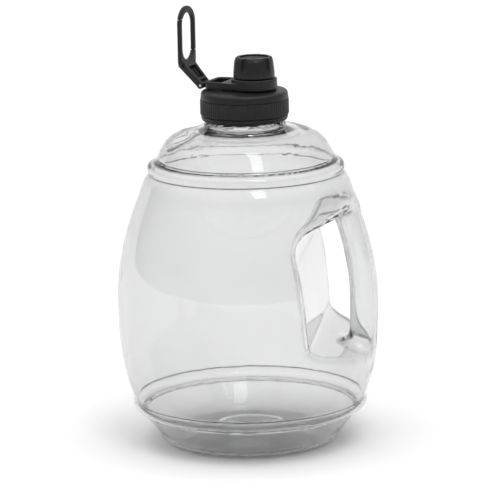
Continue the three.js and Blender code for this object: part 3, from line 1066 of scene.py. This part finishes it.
class JUG_OT_loop(bpy.types.Operator):
    """Builds the hinged link and the bow that closes its carry loop."""

    bl_idname = "water_jug.loop"
    bl_label = "Carry Loop"

    def execute(self, context):
        lid = context.scene.jug_lid
        edge = lid.rounding * MM
        link_black = black_plastic("black_link", lid.black, 0.4)
        bow_black = black_plastic("black_bow", [c * 0.85 for c in lid.black], 0.46)

        def bow_part(u, v, z, grow):
            start = np.where(v > 0, NEAR_CUT, FAR_CUT) - grow
            return start - z

        def link(u, v, z):
            du, dz = u - REACH, z - PIN[2]
            along = du * math.cos(LOOP_SLOPE) + dz * math.sin(LOOP_SLOPE)
            up = -du * math.sin(LOOP_SLOPE) + dz * math.cos(LOOP_SLOPE)
            thick, half = LINK_THICK / 2, LINK_WIDTH / 2
            share = np.clip(along / LINK_LENGTH, 0, 1)
            flare = v / (half + LINK_FLARE / 2 * share) * half
            bar = rounded_box(
                along, flare, up, (-1.5, -half, -thick), (LINK_LENGTH + 1.8, half, thick), 0.9
            )
            barrel = rounded_rod(np.hypot(along, up), v, thick, -half, half, 0.4)
            body = soft_union(bar, barrel, 0.6)
            pocket_low = (5.0, 2.5 - half, thick - 2.6)
            pocket_high = (LINK_LENGTH - 3.0, half - 2.5, 9)
            pocket = rounded_box(along, flare, up, pocket_low, pocket_high, 0.6)
            body = soft_cut(body, pocket, edge)
            wide = LUG_HALF + 0.3
            slot = rounded_box(along, v, up, (-9, -wide, -9), (3.2, wide, 9), 0.3)
            body = soft_cut(body, slot, edge)
            body = soft_cut(body, np.hypot(along, up) - 1.3, 0.2)
            ring = soft_common(loop_ring(u, v, z), -bow_part(u, v, z, 0.3), 0.2)
            return soft_union(body, ring, 2.2)

        def bow(u, v, z):
            return soft_common(loop_ring(u, v, z), bow_part(u, v, z, 0.0), 0.2)

        reach = (REACH - 3, LOOP_OUT + 3)
        width = (-LOOP_WIDTH / 2 - 1, LOOP_WIDTH / 2 + 1)
        low = PIN[2] - 3.5
        spans = (reach, width, (low, NEAR_CUT + 1))
        made = strap_piece("carry_link_moulding", link, spans, 0.6, link_black)
        finished(made, "loop", "carry_link")
        top = LOOP_LOW + LOOP_HEIGHT + 1
        spans = ((LOOP_OUT - 3, LOOP_OUT + 3), width, (FAR_CUT - 1, top))
        made = strap_piece("loop_bow_moulding", bow, spans, 0.45, bow_black)
        finished(made, "loop", "loop_bow")
        return {"FINISHED"}


class JUG_OT_cap(bpy.types.Operator):
    """Builds the grooved spout cap and the disc sunk in its top."""

    bl_idname = "water_jug.cap"
    bl_label = "Spout Cap"

    def execute(self, context):
        lid = context.scene.jug_lid
        shell_black = black_plastic("black_cap", lid.black, 0.4)
        disc_black = black_plastic("black_disc", [c * 0.8 for c in lid.black], 0.5)
        low, high = edges_of("cap_shell")
        foot, top = low[2], high[2]
        radius = (high[0] - low[0]) / 2
        side = radius - 0.8
        crown = side - 1.1
        bore = edges_of("cap_core")[1][0] - SPOUT[0] + 0.3
        disc_low, disc_high = edges_of("cap_disc")
        well = (disc_high[0] - disc_low[0]) / 2 + 0.3
        shelf = disc_low[2] - 0.3
        profile = [
            (0, shelf - 0.8),
            (bore, shelf - 0.8),
            (bore, foot + 0.3, 0.3),
            (bore + 0.5, foot, 0.2),
            (radius, foot, 0.5),
            (radius, foot + 3.4, 0.8),
            (side, top - 2.6, 0.6),
            (crown, top, 0.5),
            (well + 0.2, top, 0.2),
            (well, top - 0.4, 0.2),
            (well, shelf, 0.2),
            (0, shelf),
        ]
        depth = lid.groove_depth * MM
        half = 2.1 / radius

        def dips(turn, first, width):
            gap = 2 * math.pi / lid.grooves
            phase = np.mod(turn - first, gap)
            off = (width - np.minimum(phase, gap - phase)) * side / 0.35 + 0.5
            share = np.clip(off, 0, 1)
            return share * share * (3 - 2 * share)

        def grooved(turn, r, z):
            if r < well + 0.6 or z < foot + 4.2:
                return 0.0
            deep = min(depth, max(0.0, r - side + depth) + 0.35 * depth)
            rise = min(1.0, (z - foot - 4.2) / 0.6)
            notch = 0.7 * min(1.0, max(0.0, (z - top + 1.6) / 0.5))
            second = GROOVE_TURN + math.pi / lid.grooves
            wide = dips(turn, GROOVE_TURN, half)
            return -deep * rise * wide - notch * dips(turn, second, half / 2)

        rows = filled(eased(profile, 3), 2.4)
        points, faces = turned(rows, 180, grooved)
        centre = np.array([SPOUT[0], SPOUT[1], 0])
        shell = new_object("cap_grooved_shell", points + centre, faces, shell_black)
        finished(shell, "cap", "cap_shell")
        reach = (disc_high[0] - disc_low[0]) / 2
        foot, top = disc_low[2], disc_high[2]
        profile = [
            (0, foot),
            (reach, foot, 0.15),
            (reach, top, 0.3),
            (1.3, top, 0.2),
            (1.0, top - 0.5, 0.2),
            (0.5, top - 0.5, 0.2),
            (0.25, top - 0.35),
            (0, top - 0.3),
        ]
        points, faces = turned(eased(profile, 3), 72)
        disc = new_object("cap_top_disc", points + centre, faces, disc_black)
        finished(disc, "cap", "cap_disc")
        return {"FINISHED"}


class JUG_OT_seals(bpy.types.Operator):
    """Gives the frame's own hidden lid pieces their finishes."""

    bl_idname = "water_jug.seals"
    bl_label = "Seals and Cap Core"

    def execute(self, context):
        lid = context.scene.jug_lid
        silicone = silicone_rubber(lid.silicone)
        core = black_plastic("black_core", [c * 0.8 for c in lid.black], 0.5)
        steel = pin_steel()
        for node, material in (
            ("lid_gasket", silicone),
            ("cap_seal", silicone),
            ("cap_core", core),
            ("hinge_pin", steel),
        ):
            piece = frame["nodes"][node]
            piece.data.materials.clear()
            piece.data.materials.append(material)
        return {"FINISHED"}


# ---- the studio, in metres ----

SWEEP_STEPS, SWEEP_START, SWEEP_HALF = 12, 1.6, 4.0
STRIP_REACH = 2.4
STRIP_TURN = math.radians(18)
STRIP_RISE = math.radians(60)
AIM_HEIGHT, AIM_SIDE = 0.1346, 0.0009
CAMERA_ROLL = math.radians(-1.15)


class JUG_OT_stage(bpy.types.Operator):
    """Sets the pale floor and sweep, the soft lights and the camera."""

    bl_idname = "water_jug.stage"
    bl_label = "Studio"

    def execute(self, context):
        studio = context.scene.jug_studio
        scene = context.scene
        rows = [(-3.0, 0.0)]
        for k in range(SWEEP_STEPS + 1):
            turn = math.pi / 2 * k / SWEEP_STEPS
            rows.append((SWEEP_START + math.sin(turn), 1.0 - math.cos(turn)))
        rows.append((SWEEP_START + 1.0, 4.5))
        points = [(side * SWEEP_HALF, y, z) for y, z in rows for side in (-1, 1)]
        faces = [(2 * k, 2 * k + 1, 2 * k + 3, 2 * k + 2) for k in range(len(rows) - 1)]
        sweep = new_object(
            "studio_sweep", np.array(points) * MM, faces, studio_paper(studio.floor), math.radians(60)
        )
        scene.world = studio_air(studio.dome)
        turn = studio.azimuth + STRIP_TURN
        flat = STRIP_REACH * math.cos(STRIP_RISE)
        level = STRIP_REACH * math.sin(STRIP_RISE)
        place = Vector((flat * math.sin(turn), -flat * math.cos(turn), level))
        lamp = bpy.data.lights.new("strip_light", "AREA")
        lamp.shape = "RECTANGLE"
        lamp.size, lamp.size_y = 0.5, 1.7
        lamp.energy = studio.strip
        held = bpy.data.objects.new("strip_light", lamp)
        held.location = place
        held.rotation_euler = (Vector((0, 0, 0.15)) - place).to_track_quat("-Z", "Y").to_euler()
        scene.collection.objects.link(held)
        lens = bpy.data.cameras.new("studio_camera")
        lens.lens = 250.0
        lens.sensor_width = 36.0
        lens.clip_end = 20.0
        camera = bpy.data.objects.new("studio_camera", lens)
        camera.location = (
            studio.distance * math.sin(studio.azimuth),
            -studio.distance * math.cos(studio.azimuth),
            studio.height,
        )
        right = Vector((math.cos(studio.azimuth), math.sin(studio.azimuth), 0))
        target = Vector((0, 0, AIM_HEIGHT)) - right * AIM_SIDE
        aim = (target - camera.location).to_track_quat("-Z", "Y").to_matrix()
        roll = Matrix.Rotation(CAMERA_ROLL, 3, "Z")
        camera.rotation_euler = (aim @ roll).to_euler()
        scene.collection.objects.link(camera)
        scene.camera = camera
        scene.view_settings.view_transform = "Standard"
        return {"FINISHED"}


class JUG_PT_panel(bpy.types.Panel):
    """Lists the steps that build the jug."""

    bl_idname = "JUG_PT_panel"
    bl_label = "Water Jug"
    bl_space_type = "VIEW_3D"
    bl_region_type = "UI"
    bl_category = "Water Jug"

    def draw(self, context):
        for step in STEPS:
            self.layout.operator(step.bl_idname)


SETTINGS = (
    ("jug_sizes", JugSettings),
    ("jug_lid", LidSettings),
    ("jug_studio", StudioSettings),
)
STEPS = (
    JUG_OT_bottle,
    JUG_OT_lid,
    JUG_OT_sleeve,
    JUG_OT_arm,
    JUG_OT_loop,
    JUG_OT_cap,
    JUG_OT_seals,
    JUG_OT_stage,
)


def register():
    for name, group in SETTINGS:
        bpy.utils.register_class(group)
        setattr(bpy.types.Scene, name, bpy.props.PointerProperty(type=group))
    for kind in (*STEPS, JUG_PT_panel):
        bpy.utils.register_class(kind)


def unregister():
    for kind in reversed((*STEPS, JUG_PT_panel)):
        bpy.utils.unregister_class(kind)
    for name, group in reversed(SETTINGS):
        delattr(bpy.types.Scene, name)
        bpy.utils.unregister_class(group)


def main():
    register()
    for step in STEPS:
        family, name = step.bl_idname.split(".")
        getattr(getattr(bpy.ops, family), name)()


if __name__ == "__main__":
    main()
